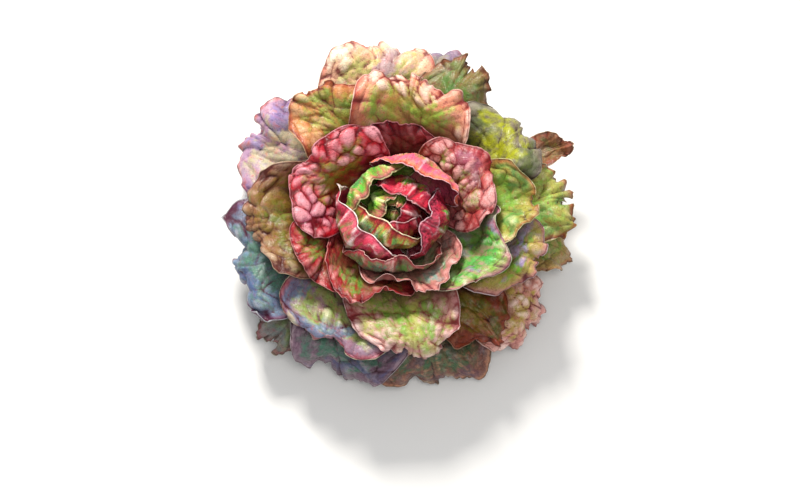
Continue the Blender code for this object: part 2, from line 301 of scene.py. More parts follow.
RING_LEAVES = (
    Leaf(
        "ring_leaf_1", 22, 0.465, 0.98, 45, "coral", 0.4, 1.4,
        lip=160, skew=6, ruffle=3, bend=0.55, pimples=0.6, streaks=0.3,
    ),
    Leaf("ring_leaf_2", 84, 0.57, 0.69, 50, "garnet", 0.4, 0.6, lip=30, skew=6, ruffle=4, streaks=0.5),
    Leaf(
        "ring_leaf_3", 147, 0.47, 1.0, 52, "ruby", 0.7, 1.4,
        lip=155, skew=6, ruffle=2.5, bend=0.5, streaks=0.3,
    ),
    Leaf(
        "ring_leaf_4", 204, 0.605, 0.80, 46, "brick", 0.5, 0.5,
        lip=70, skew=6, ruffle=2.5, blush=0.4, streaks=0.5,
    ),
    Leaf(
        "ring_leaf_5", 242, 0.55, 0.83, 50, "brick", 0.6, 0.6,
        lip=50, skew=6, ruffle=4, blush=0.4, streaks=0.5,
    ),
    Leaf(
        "ring_leaf_6", 282, 0.495, 0.83, 48, "blush", 0.4, 0.3,
        lip=50, skew=6, ruffle=4, blush=0.4, streaks=0.5,
    ),
    Leaf(
        "ring_leaf_7", 325, 0.605, 0.90, 49, "emerald", 0.4, 0.5,
        lip=80, skew=6, ruffle=3, blush=0.4, streaks=0.5, teeth=0.1,
    ),
)
HEART_LEAVES = (
    Leaf(
        "heart_leaf_1", 217, 0.40, 0.98, 56, "crimson", 0.3, 0.2,
        lip=-35, tilt=-0.02, ruffle=1.5, corner=0.32, spots=0,
        blush=0.6, streaks=0.8, edging=0.95, outlines=0.6,
    ),
    Leaf(
        "heart_leaf_2", 60, 0.42, 0.97, 52, "pink", 0.4, 0.4,
        lip=-35, tilt=-0.02, ruffle=1.5, corner=0.30, spots=0,
        blush=0.6, streaks=0.5, edging=0.8, outlines=0.6,
    ),
    Leaf(
        "heart_leaf_3", 334, 0.345, 0.92, 40, "spear", 0.2, 0.2,
        lip=-20, tilt=-0.02, ruffle=1.5, corner=0.25, pimples=1.2, spots=0,
        blush=0.6, streaks=0.5, edging=0.5, outlines=0.6,
    ),
    Leaf(
        "heart_leaf_4", 132, 0.33, 0.88, 50, "spring", 0.3, 0.3,
        lip=-15, tilt=-0.02, ruffle=1.2, corner=0.25, spots=0,
        blush=0.25, streaks=0.7, edging=0.4, outlines=0.6,
    ),
    Leaf(
        "heart_leaf_5", 233, 0.27, 0.96, 46, "mint", 0.3, 0.3,
        lip=-10, tilt=-0.02, ruffle=1, corner=0.35, spots=0,
        blush=0.35, streaks=0.9, edging=0.95, outlines=0.6,
    ),
    Leaf(
        "heart_leaf_6", 52, 0.24, 0.96, 42, "wine", 0.3, 0.3,
        lip=-10, tilt=-0.02, ruffle=0.7, corner=0.3, spots=0,
        blush=0.6, streaks=0.9, edging=0.3, outlines=0.6,
    ),
    Leaf(
        "heart_leaf_7", 266, 0.435, 0.90, 48, "wrap", 0.4, 0.4,
        lip=-30, ruffle=2, corner=0.2, spots=0, blush=0.4, streaks=0.7, edging=0.6, outlines=0.6,
    ),
)
BUD_LEAVES = (
    Leaf(
        "bud_leaf_1", 272, 0.20, 0.95, 30, "wine", 0.3, 0.3,
        lip=0, tilt=-0.02, ruffle=0.5, corner=0.28, spots=0, streaks=0.8, edging=0.6,
    ),
    Leaf(
        "bud_leaf_2", 150, 0.155, 0.95, 28, "spring", 0.3, 0.3,
        lip=-10, ruffle=1, corner=0.3, spots=0, streaks=0.9, edging=0.3,
    ),
    Leaf(
        "bud_leaf_3", 340, 0.11, 0.98, 22, "wine", 0.3, 0.3,
        lip=-15, ruffle=1, corner=0.3, spots=0, streaks=0.7, edging=0.3,
    ),
    Leaf(
        "bud_leaf_4", 80, 0.065, 1.0, 16, "spring", 0.3, 0.2,
        lip=-5, ruffle=0.5, corner=0.3, spots=0, streaks=0.6, edging=0.1,
    ),
    Leaf(
        "bud_leaf_5", 250, 0.015, 1.0, 13, "spring", 0.3, 0.1,
        lip=0, ruffle=0.3, corner=0.35, spots=0, streaks=0.4, edging=0.1,
    ),
)


@dataclass
class Palette:
    """Colours of a leaf, as a painter would mix them, in hexadecimal."""

    centre: str  # the blade near its rib
    flush: str  # patches over the outer half
    margin: str
    highlight_and_edge: str  # painted highlight on the proud places, and the thin pale line along the edge
    dark_marks_and_shade: str  # painted shade in the creases and between leaves, and the dark flecks, drawn lines and border
    cast: str  # wide cool or warm patches


# Some palettes are darkened to match how dark their leaves look in the head's light, so they hold painted
# shade as well as the leaves' own colour: violet the most, for a leaf that lies in shade, and slate, ochre,
# storm, dusk, shade, brick, gold, olive, coral and ruby a little
PALETTES = {
    "lime": Palette("#8CB044", "#A4A44C", "#9A4A30", "#E4E0A0", "#54301A", "#6A9C4E"),
    "bronze": Palette("#84803C", "#8E6240", "#8E4434", "#C8B08A", "#46291C", "#6C7E48"),
    "olive": Palette("#557833", "#7C703C", "#82442D", "#A99B78", "#3B2115", "#62763C"),
    "mauve": Palette("#8E8A74", "#857088", "#96606A", "#D4C8CC", "#463048", "#6E6488"),
    "peach": Palette("#B5B265", "#EEBC99", "#C7705C", "#FFF8E0", "#773A35", "#AD8E9E"),
    "lilac": Palette("#B8AE8C", "#B08CA8", "#C0604C", "#F2DED8", "#4E2E50", "#8A78B0"),
    "slate": Palette("#56806E", "#6C86A0", "#7C4C6C", "#C4CED0", "#46122A", "#4A5A8A"),
    "moss": Palette("#6A8450", "#746054", "#844044", "#B8BC9C", "#362522", "#667472"),
    "violet": Palette("#40705B", "#725768", "#997F8A", "#C9C0C2", "#370F20", "#4D4F78"),
    "dusk": Palette("#466544", "#74483D", "#B67E5F", "#C2B396", "#261919", "#65424F"),
    "rose": Palette("#B09A44", "#D08A80", "#DC9C8C", "#FADCD0", "#6A2222", "#A86250"),
    "sage": Palette("#779D35", "#A38A4C", "#B47B58", "#E0DBB2", "#452215", "#648D57"),
    "fresh": Palette("#7CA840", "#A8A44A", "#B07040", "#DCE0A0", "#4E361C", "#5C9C4C"),
    "gold": Palette("#A2A51D", "#776C54", "#665452", "#ABA78F", "#352119", "#546639"),
    "salmon": Palette("#94B044", "#D68A6C", "#C25840", "#F8D4C0", "#762424", "#B8A44A"),
    "copper": Palette("#9CA444", "#C4844E", "#B05438", "#ECC89A", "#64261C", "#789E3E"),
    "ochre": Palette("#816724", "#8C613C", "#9D574F", "#BCA386", "#4B1912", "#667630"),
    "storm": Palette("#84984C", "#8D6E82", "#A7505B", "#C9C9A2", "#501724", "#657B9C"),
    "candy": Palette("#78A238", "#BC8A7C", "#D08E90", "#F4D6CE", "#7A2426", "#AAAE50"),
    "shade": Palette("#73631C", "#77311E", "#8D3A24", "#B38364", "#320A08", "#4F5B22"),
    "orchid": Palette("#6FA72D", "#AB9A4A", "#C4827C", "#EDDDE2", "#5A1722", "#9884BC"),
    "coral": Palette("#6F8B31", "#AD4846", "#9E2226", "#DCA4A0", "#5E0610", "#904F68"),
    "garnet": Palette("#6A4632", "#88222A", "#7A1A24", "#C47C84", "#38060E", "#662A34"),
    "ruby": Palette("#7D7B29", "#B62232", "#AC0715", "#DD97A1", "#600009", "#963760"),
    "brick": Palette("#629738", "#A22B2D", "#9B1521", "#DD9490", "#4A010B", "#7F4E3C"),
    "blush": Palette("#58A06A", "#B8766C", "#D08880", "#F4D0C8", "#6A2026", "#7E9C94"),
    "emerald": Palette("#4BA845", "#8AB845", "#BC6F82", "#DCECC4", "#54202A", "#A58DB8"),
    "crimson": Palette("#6E9A40", "#C3314A", "#DA4F6A", "#FFF1ED", "#5A0814", "#7E7A50"),
    "pink": Palette("#8E9A3A", "#E4658B", "#ED8355", "#FFCCD6", "#80081E", "#D84468"),
    "spear": Palette("#66A44A", "#BB2840", "#CE4661", "#FFE0E9", "#580A1C", "#8A465C"),
    "spring": Palette("#4FBB3E", "#97C743", "#C35662", "#F0F8B0", "#2A3A10", "#66AA66"),
    "wrap": Palette("#63AE4D", "#8D9972", "#C7364C", "#F4CCC0", "#500A12", "#669788"),
    "mint": Palette("#6CC767", "#B9D55F", "#CE2A40", "#FFF2C8", "#580A14", "#7FCCA1"),
    "wine": Palette("#4FB529", "#B7283B", "#D42E46", "#FFD9D9", "#48060E", "#883050"),
}

# The grey bloom on the outer leaves
BLOOM = "#A89E9C"

# The stem's flesh, its shade and fibres, and the brown of its cut
FLESH = "#D9DDAA"
FLESH_SHADE = "#B9C884"
FIBRE = "#F0EDD0"
CUT_BROWN = "#B07A48"


def smooth(x):
    """Rises from 0 to 1 with no slope at either end."""
    x = np.clip(x, 0.0, 1.0)
    return x * x * (3.0 - 2.0 * x)


def ramp(value, start, end):
    """Rises smoothly from 0 to 1 as the value goes from start to end."""
    return smooth((value - start) / (end - start))


def growth_point(layer, u):
    """Radius and height on the growth curve of a layer, at share u of the way from stem to tip."""
    steps = len(GROWTH) - 1
    at = layer * steps
    below = np.clip(at.astype(int), 0, steps - 1)
    share = (at - below)[..., None, None]
    curve = GROWTH[below] * (1.0 - share) + GROWTH[below + 1] * share
    degree = curve.shape[-2] - 1
    point = 0.0
    for k in range(degree + 1):
        weight = math.comb(degree, k) * u**k * (1.0 - u) ** (degree - k)
        point = point + weight[..., None] * curve[..., k, :]
    return point[..., 0], point[..., 1]


def half_width_share(s):
    """Half width of a blade at share s of its length, from a narrow base to a round tip."""
    widening = smooth((s / BROADEST) ** BASE_WIDENING)
    rounding = np.sqrt(np.clip(1.0 - ((s - BROADEST) / (1.0 - BROADEST)) ** 2, 0.0, 1.0))
    return np.where(s < BROADEST, widening, rounding)


def surface_normals(points):
    """Unit normals of a grid of points, towards the upper, inner face of the leaf."""
    along = np.gradient(points, axis=0)
    across = np.gradient(points, axis=1)
    normals = np.cross(along, across)
    return normals / np.linalg.norm(normals, axis=2, keepdims=True)


def lean(z):
    """How far the head leans to the front at a height."""
    return LEAN * z * smooth(z / LEAN_HEIGHT)


def head_posture(points):
    """Leans the head to the front and lifts the leaves at its back, without folding space over."""
    x, y, z = points[..., 0], points[..., 1], points[..., 2]

    # Three slow waves, out of step with each other
    wave = 2.0 * np.pi / SWAY_LENGTH
    amount = SWAY * ramp(np.hypot(x, y), SWAY_START, SWAY_END)
    x = x + amount * np.sin(wave * y + 0.6) * np.cos(wave * 0.7 * z)
    y = y + amount * np.sin(wave * x * 0.9 + 2.1) * np.cos(wave * 0.7 * z + 1.0)
    z = z + amount * np.sin(wave * x + 4.0) * np.sin(wave * y * 1.1 + 1.0)

    back = np.clip(y / SPREAD_RADIUS, 0.0, None)
    lifted = z + BACK_LIFT * back * back
    leaned = y - lean(z)
    return np.stack([x, leaned, lifted], axis=-1)


def soften(points, rounds):
    """Eases folds that are too tight for the blade's grid."""
    for _ in range(rounds):
        points[1:-1] = (points[:-2] + 2.0 * points[1:-1] + points[2:]) / 4.0
        points[:, 1:-1] = (points[:, :-2] + 2.0 * points[:, 1:-1] + points[:, 2:]) / 4.0
    return points


def wander(value, seed):
    """A slow irregular wave between about -1 and 1 along one coordinate."""
    draw = np.random.default_rng(seed)
    highest = 1.9
    total = 0.0
    for pitch in (1.0, 1.7, 2.9):
        total = total + np.sin(pitch * value + draw.uniform(0.0, 6.3)) / pitch
    return total / highest


def patches(x, y, size, draw):
    """Smooth irregular patches over a plane, between 0 and 1, about `size` across."""
    columns = int(np.ceil(np.ptp(x) / size)) + 2
    rows = int(np.ceil(np.ptp(y) / size)) + 2
    table = draw.uniform(0.0, 1.0, (rows, columns))
    grid_x, grid_y = (x - x.min()) / size, (y - y.min()) / size
    i, j = grid_y.astype(int), grid_x.astype(int)
    p, q = smooth(grid_y - i), smooth(grid_x - j)
    low = table[i, j] * (1.0 - q) + table[i, j + 1] * q
    high = table[i + 1, j] * (1.0 - q) + table[i + 1, j + 1] * q
    return low * (1.0 - p) + high * p


def notched_margin(leaf, index, around):
    """How far the margin falls back between its teeth, as a share of the blade's length and width."""
    depth = LEAST_NOTCH + NOTCH_DEPTH * leaf.teeth
    teeth = np.abs(np.sin(NOTCHES * around + 2.5 * wander(2.0 * around, index))) ** 0.7
    return depth * teeth - depth


def nesting_shift(leaf, layer, angle, u):
    """Layers by which the nesting waves move a leaf in or out, none near the stem and the bud."""
    wave = sum(strength * np.sin(count * angle + twist * layer) for strength, count, twist in NESTING_WAVES)
    return NESTING * smooth(leaf.layer / 0.6) * ramp(u, 0.35, 0.85) * wave


def leaf_surface(leaf, index, cells):
    """Points of a leaf's mid surface, each with its share of the length, its angle round the rim, and
    its millimetres across and along the blade."""
    rows, columns = cells
    a = np.linspace(0.0, 1.0, rows + 1)[:, None] ** ROW_CROWDING * np.ones((1, columns + 1))
    b = np.linspace(-1.0, 1.0, columns + 1)[None, :] * np.ones((rows + 1, 1))

    phase = GOLDEN_TURN * index
    s = a - leaf.corner * a**3 * b**2
    side = a - leaf.corner * a**3
    share = half_width_share(side)
    across = b * (BASE_HALF_WIDTH + (leaf.half_width - BASE_HALF_WIDTH) * share)
    around = np.arctan2(across / leaf.half_width, s - BROADEST)
    notches = notched_margin(leaf, index, around)
    scallops = SCALLOP_DEPTH * a**2 * np.sin(SCALLOPS * around + phase)
    u = leaf.reach * s * (1.0 + scallops + notches * a**NOTCH_FADE)
    across = across * (1.0 + notches * np.abs(b) ** NOTCH_FADE * smooth(3.0 * a))

    rise = smooth(a)
    layer = leaf.layer + leaf.tilt * b * rise
    radius, height = growth_point(layer, u)
    angle = np.radians(leaf.azimuth + leaf.skew * s) + across / np.maximum(radius, TIGHTEST_RADIUS)
    radius, height = growth_point(layer + nesting_shift(leaf, layer, angle, u), u)

    # The rim rolls by turning each further step of the growth curve
    middle = 0.5 * (s[1:] + s[:-1])
    rolled = np.clip((middle - leaf.bend) / (1.0 - leaf.bend), 0.0, 1.0)
    turn = np.radians(leaf.lip) * rolled**LIP_CURL
    step_r, step_z = np.diff(radius, axis=0), np.diff(height, axis=0)
    radius[1:] = radius[0] + np.cumsum(step_r * np.cos(turn) + step_z * np.sin(turn), axis=0)
    height[1:] = height[0] + np.cumsum(step_z * np.cos(turn) - step_r * np.sin(turn), axis=0)

    points = np.stack([radius * np.cos(angle), radius * np.sin(angle), height], axis=-1)
    rim = 1.0 - (1.0 - a**4) * (1.0 - np.abs(b) ** 3 * rise)
    wave = np.sin(leaf.waves * around + phase) + 0.4 * np.sin((leaf.waves + 3) * around - phase)
    points = points + surface_normals(points) * (leaf.ruffle * rim * wave)[..., None]
    rounds = round(SOFTENING * (max(cells) / SOLID_CELLS) ** 2)
    points = soften(head_posture(points), rounds)
    length = np.linalg.norm(np.diff(points, axis=0), axis=2)[:, columns // 2].sum()
    return points, a, around, across, s * length


def cell_field(x, y, size, draw):
    """Irregular cells about `size` apart: domes, 0 on the lines between, a share each, and the
    distance from the cell's centre in units of `size`."""
    bend = CELL_BEND * size
    first, second = CELL_BEND_SEEDS
    x, y = x + bend * wander(y / size, first), y + bend * wander(x / size, second)
    columns = int(np.ceil(np.ptp(x) / size)) + 3
    rows = int(np.ceil(np.ptp(y) / size)) + 3
    grid_x, grid_y = np.meshgrid(np.arange(columns), np.arange(rows))
    shift_x = 0.5 * (grid_y % 2) + draw.uniform(-CELL_JITTER, CELL_JITTER, grid_x.shape)
    shift_y = draw.uniform(-CELL_JITTER, CELL_JITTER, grid_x.shape)
    seeds_x = x.min() + size * (grid_x - 1 + shift_x)
    seeds_y = y.min() + size * (grid_y - 1 + shift_y)
    shares = draw.uniform(0.0, 1.0, grid_x.size)
    away = np.hypot(x.reshape(-1, 1) - seeds_x.reshape(1, -1), y.reshape(-1, 1) - seeds_y.reshape(1, -1))
    order = np.argpartition(away, 1, axis=1)[:, :2]
    nearest = np.take_along_axis(away, order, axis=1)
    gap = (nearest[:, 1] - nearest[:, 0]).reshape(x.shape) / size
    dome = 1.0 - (1.0 - np.clip(gap / DOME_WIDTH, 0.0, 1.0)) ** DOME_ROUNDNESS
    return dome, shares[order[:, 0]].reshape(x.shape), nearest.min(axis=1).reshape(x.shape) / size


def margin_distance(across, along):
    """Millimetres from each point to the leaf's nearest edge, the base left out."""
    side = np.abs(across[:, -1:]) - np.abs(across)
    tip = along[-1:, :] - along
    return np.minimum(side, tip)


def vein_field(across, along, length):
    """1 on the midrib and on the side veins that branch off it, falling off to their sides."""
    midrib_width = MIDRIB_TIP_WIDTH + MIDRIB_WIDENING * (1.0 - along / length)
    midrib = np.exp(-((across / midrib_width) ** 2))
    spacing = length / SIDE_VEINS
    swing = SIDE_VEIN_SWING * wander(across / SIDE_VEIN_SWING_LENGTH, VEIN_SEED)
    bent = along - SIDE_VEIN_SLOPE * np.abs(across) + swing
    offset = (bent / spacing + 0.5 * (across > 0.0)) % 1.0
    near = np.minimum(offset, 1.0 - offset) * spacing
    side = np.exp(-((near / SIDE_VEIN_WIDTH) ** 2)) * smooth((length - along) / (length * SIDE_VEIN_FADE))
    return np.maximum(midrib, SIDE_VEIN_STRENGTH * side * smooth(along / (SIDE_VEIN_FADE * length)))


def pleat_field(leaf, index, around, scale):
    """Rounded bulges across the margin, 1 on their crowns and 0 in the sharp creases between."""
    pleats = around * leaf.half_width / (PLEAT_WIDTH * scale) * RIM_STRETCH

    # Each bulge is half a turn of the wave
    return np.abs(np.cos(3.14 * pleats + 0.9 * wander(2.6 * pleats, index))) ** 0.6


def fold_field(leaf, index, across, along):
    """Narrow folds that run along the blade, as a wave about 0."""
    swung = across + FOLD_SWING * wander(along / FOLD_SWING_LENGTH, index)
    return leaf.streaks * wander(swung / FOLD_WIDTH, index + FOLD_SEED)


def frill_field(leaf, index, around, margin, up):
    """Quick small waves of the margin, as a wave about 0, higher on toothed and ruffled leaves."""
    frill = wander(FRILLS * around, index + FRILL_SEED) * np.exp(-margin / FRILL_REACH) * smooth(3.0 * up)
    return (0.4 + 0.6 * leaf.teeth) * leaf.ruffle / 4.0 * frill


def relief_of(leaf, index, around, across, along, margin):
    """Height of a leaf's relief in millimetres, how proud each point is, its creases and its veins."""
    draw = np.random.default_rng(RELIEF_SEED + index)
    scale = 0.5 + 0.5 * leaf.half_width / FULL_HALF_WIDTH
    quilt, lift, _ = cell_field(across * 1.1, along * 0.8, QUILT_SIZE * scale, draw)
    crown, puff, _ = cell_field(across, along * 0.75, BLISTER_SIZE * scale, draw)
    pimple, _, _ = cell_field(across, along, PIMPLE_SIZE * scale, draw)
    clusters = patches(across, along, CLUSTER_SIZE * scale, draw)
    crumple = patches(across, along * 0.8, CRUMPLE_SIZE * scale, draw) - 0.5
    _, chosen, away = cell_field(across, along * 0.8, SPOT_SIZE * scale, draw)

    length = along.max()
    up = along / length
    veins = vein_field(across, along, length)
    blade = ramp(up, 0.12, 0.42) * (1.0 - 0.5 * veins)
    inward = np.exp(-margin / (PLEAT_REACH * scale)) * smooth(up / 0.4)
    bulge = pleat_field(leaf, index, around, scale)
    fold = fold_field(leaf, index, across, along)
    frill = frill_field(leaf, index, around, margin, up)

    # How strong each kind of cell is at each point
    quilts = leaf.quilts * (0.4 + 0.6 * lift) * (1.0 - 0.6 * leaf.pleats * inward) * blade
    blisters = leaf.blisters * ramp(clusters, 0.25, 0.60) * (0.35 + 0.65 * puff) * blade
    pimples = leaf.pimples * pimple * blade
    spots = leaf.spots * ramp(chosen, 0.45, 0.55) * blade
    spot = spots * ramp(away, 0.42, 0.12)
    ring = spots * np.exp(-(((away - 0.40) / 0.07) ** 2))

    relief = (
        PLEAT_HEIGHT * leaf.pleats * (bulge - 0.5) * inward
        + CRUMPLE_HEIGHT * scale**2 * crumple * ramp(up, 0.3, 0.7)
        + QUILT_HEIGHT * scale * quilts * (quilt - 0.5)
        + BLISTER_HEIGHT * scale * blisters * (crown - 0.3)
        + PIMPLE_HEIGHT * pimples * ramp(clusters, 0.4, 0.7)
        + SPOT_HEIGHT * (spot - 0.3 * ring)
        - VEIN_DEPTH * veins * smooth(up / 0.2)
        + FOLD_HEIGHT * fold * smooth(up / 0.5)
        + FRILL_HEIGHT * frill
    )
    # How proud each point is, which sets where the material paints a highlight
    proud = (
        0.4 * leaf.pleats * inward * bulge
        + 0.35 * quilts * quilt
        + 0.6 * blisters * crown
        + 0.3 * spot
        + 0.5 * leaf.pimples * pimples
        + 0.7 * np.clip(fold, 0.0, 1.0)
    )
    # The creases, where the material paints shade
    crease = (
        leaf.pleats * inward * (1.0 - bulge) ** 1.5
        + 0.6 * quilts * (1.0 - quilt) ** 5
        + 0.8 * blisters * (1.0 - crown) ** 4
        + 0.4 * ring
        + 0.5 * np.clip(-fold, 0.0, 1.0)
    )
    return relief, np.clip(proud, 0.0, 1.0), np.clip(crease, 0.0, 1.0), veins


def grow_leaf(leaf, index, cells):
    """Both faces of one finished leaf, its flat coordinates, and for each face the masks of margin,
    proud places and creases, which place the painted highlight and the painted shade."""
    points, a, around, across, along = leaf_surface(leaf, index, cells)
    margin = margin_distance(across, along)
    relief, proud, crease, veins = relief_of(leaf, index, around, across, along, margin)
    middle = points + surface_normals(points) * relief[..., None]

    # The blade is thick along its rib and thin at the margin
    thinned = MARGIN_THICKNESS + (BLADE_THICKNESS - MARGIN_THICKNESS) * smooth(margin / THIN_MARGIN_WIDTH)
    half = 0.5 * thinned
    rib = RIB_DEPTH * (1.0 - a) ** RIB_TAPER * np.exp(-((across / RIB_WIDTH) ** 2))
    side_ribs = SIDE_RIB_DEPTH * veins * smooth(margin / SIDE_RIB_CLEARANCE)
    normals = surface_normals(middle)
    upper = middle + normals * half[..., None]
    lower = middle - normals * (half + rib + side_ribs)[..., None]
    for face in (upper, lower):
        seat_on_stem(face[0])

    # Seen from below, the creases and veins stand proud and get the painted highlight, and the blisters
    # are hollow and get the painted shade
    glow = np.exp(-margin / MARGIN_GLOW)
    front = np.stack([glow, proud, np.maximum(crease, 0.35 * veins)], axis=-1)
    back = np.stack([glow, 0.15 + 0.8 * crease + 0.4 * veins, 0.6 * proud], axis=-1)
    flat = np.stack([across, along], axis=-1) / FLAT_UNIT
    return upper, lower, flat, front, np.clip(back, 0.0, 1.0)


def stem_radius(height):
    """Radius of the stem at a height: a plain cone above the chamfered cut."""
    share = np.clip(height / STEM_TIP_HEIGHT, 0.0, 1.0)
    return STEM_FOOT_RADIUS + (STEM_TIP_RADIUS - STEM_FOOT_RADIUS) * share**STEM_TAPER


def seat_on_stem(base):
    """Brings the base edge of a blade to the stem's side, a small gap clear of it."""
    shift = lean(base[:, 2])
    flat = np.stack([base[:, 0], base[:, 1] + shift], axis=1)
    out = flat / np.linalg.norm(flat, axis=1, keepdims=True)
    seat = out * (stem_radius(base[:, 2]) + JOINT_GAP)[:, None]
    base[:, 0] = seat[:, 0]
    base[:, 1] = seat[:, 1] - shift


def grid_quads(number):
    """Quads between the neighbouring points of a numbered grid."""
    corners = (number[:-1, :-1], number[1:, :-1], number[1:, 1:], number[:-1, 1:])
    return np.stack([c.ravel() for c in corners], axis=1)


def mesh_from_arrays(name, vertices, quads, flat, masks):
    """A smooth object made of quads, with flat coordinates as its UV map and masks as an attribute."""
    mesh = bpy.data.meshes.new(name)
    mesh.vertices.add(len(vertices))
    mesh.vertices.foreach_set("co", (vertices * MM).ravel())
    mesh.loops.add(quads.size)
    mesh.loops.foreach_set("vertex_index", quads.ravel())
    mesh.polygons.add(len(quads))
    mesh.polygons.foreach_set("loop_start", np.arange(0, quads.size, 4))
    mesh.update(calc_edges=True)
    mesh.uv_layers.new(name="flat")
    mesh.uv_layers["flat"].uv.foreach_set("vector", flat[quads.ravel()].ravel())
    mesh.attributes.new("masks", "FLOAT_COLOR", "POINT")
    mesh.attributes["masks"].data.foreach_set("color", masks.ravel())
    mesh.shade_smooth()
    made = bpy.data.objects.new(name, mesh)
    bpy.context.scene.collection.objects.link(made)
    return made


class Sky:
    """The sky over the head, with the blades that keep it from the places between them, where shade is
    painted.
    """

    def __init__(self, blades):
        """Takes the points of all blades, and keeps a grid of every second one."""
        vertices = []
        quads = []
        for points in blades:
            coarse = points[::2, ::2]
            number = np.arange(coarse[..., 0].size).reshape(coarse.shape[:2]) + len(vertices)
            vertices.extend(coarse.reshape(-1, 3).tolist())
            quads.extend(grid_quads(number).tolist())
        self.tree = BVHTree.FromPolygons(vertices, quads)

        # More of the rays are steep than shallow
        steps = (np.arange(SKY_RAYS) + 0.5) / SKY_RAYS
        rise, run = np.sqrt(steps), np.sqrt(1.0 - steps)
        turn = GOLDEN_TURN * np.arange(SKY_RAYS)
        rays = np.stack([run * np.cos(turn), run * np.sin(turn), rise], axis=1)
        self.rays = [Vector(ray) for ray in rays]

    def shade(self, start):
        """The share of the sky that near blades keep from one point."""
        total = 0.0
        for ray in self.rays:
            distance = self.tree.ray_cast(start, ray, SKY_REACH)[3]
            if distance is not None:
                total += (1.0 - distance / SKY_REACH) / SKY_RAYS
        return total

    def dusk(self, points, side):
        """How deep in the dusk, the painted shade between leaves, each point of a leaf's face lies;
        side is 1 for its upper face, or -1.
        """
        starts = points + side * SKY_LIFT * surface_normals(points)
        rows, columns = (np.unique(np.append(np.arange(0, n, SKY_STEP), n - 1)) for n in points.shape[:2])
        coarse = [[self.shade(Vector(starts[row, column])) for column in columns] for row in rows]
        across = np.array([np.interp(np.arange(points.shape[1]), columns, line) for line in coarse])
        shade = np.array([np.interp(np.arange(points.shape[0]), rows, line) for line in across.T]).T
        return ramp(shade, DUSK_START, DUSK_END)


def leaf_object(leaf, index, grown, sky):
    """The finished leaf as a closed mesh: two faces and the narrow edge that joins them."""
    upper, lower, flat, front, back = grown
    count = upper.shape[0] * upper.shape[1]
    number = np.arange(count).reshape(upper.shape[:2])
    top = grid_quads(number)
    bottom = top[:, ::-1] + count
    edge = np.concatenate([number[0, :], number[1:, -1], number[-1, -2::-1], number[-2:0:-1, 0]])
    following = np.roll(edge, -1)
    wall = np.stack([edge, following, following + count, edge + count], axis=1)

    # The fourth mask, the dusk, where shade is painted, beside those of margin, proud places and creases
    dusk = np.stack([sky.dusk(upper, 1.0), sky.dusk(lower, -1.0)])
    masks = np.concatenate([np.stack([front, back]), dusk[..., None]], axis=-1)
    made = mesh_from_arrays(
        "fine_" + leaf.name,
        np.concatenate([upper.reshape(-1, 3), lower.reshape(-1, 3)]),
        np.concatenate([top, bottom, wall]),
        np.concatenate([flat.reshape(-1, 2)] * 2),
        masks.reshape(-1, 4),
    )
    made.data.materials.append(leaf_material(leaf, index))
    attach(made, "root")
    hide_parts(leaf.name)


def linear(code):
    """A hexadecimal colour as linear red, green, blue and alpha."""
    parts = [int(code[k : k + 2], 16) / 255.0 for k in (1, 3, 5)]
    return tuple(p / 12.92 if p <= 0.04045 else ((p + 0.055) / 1.055) ** 2.4 for p in parts) + (1.0,)


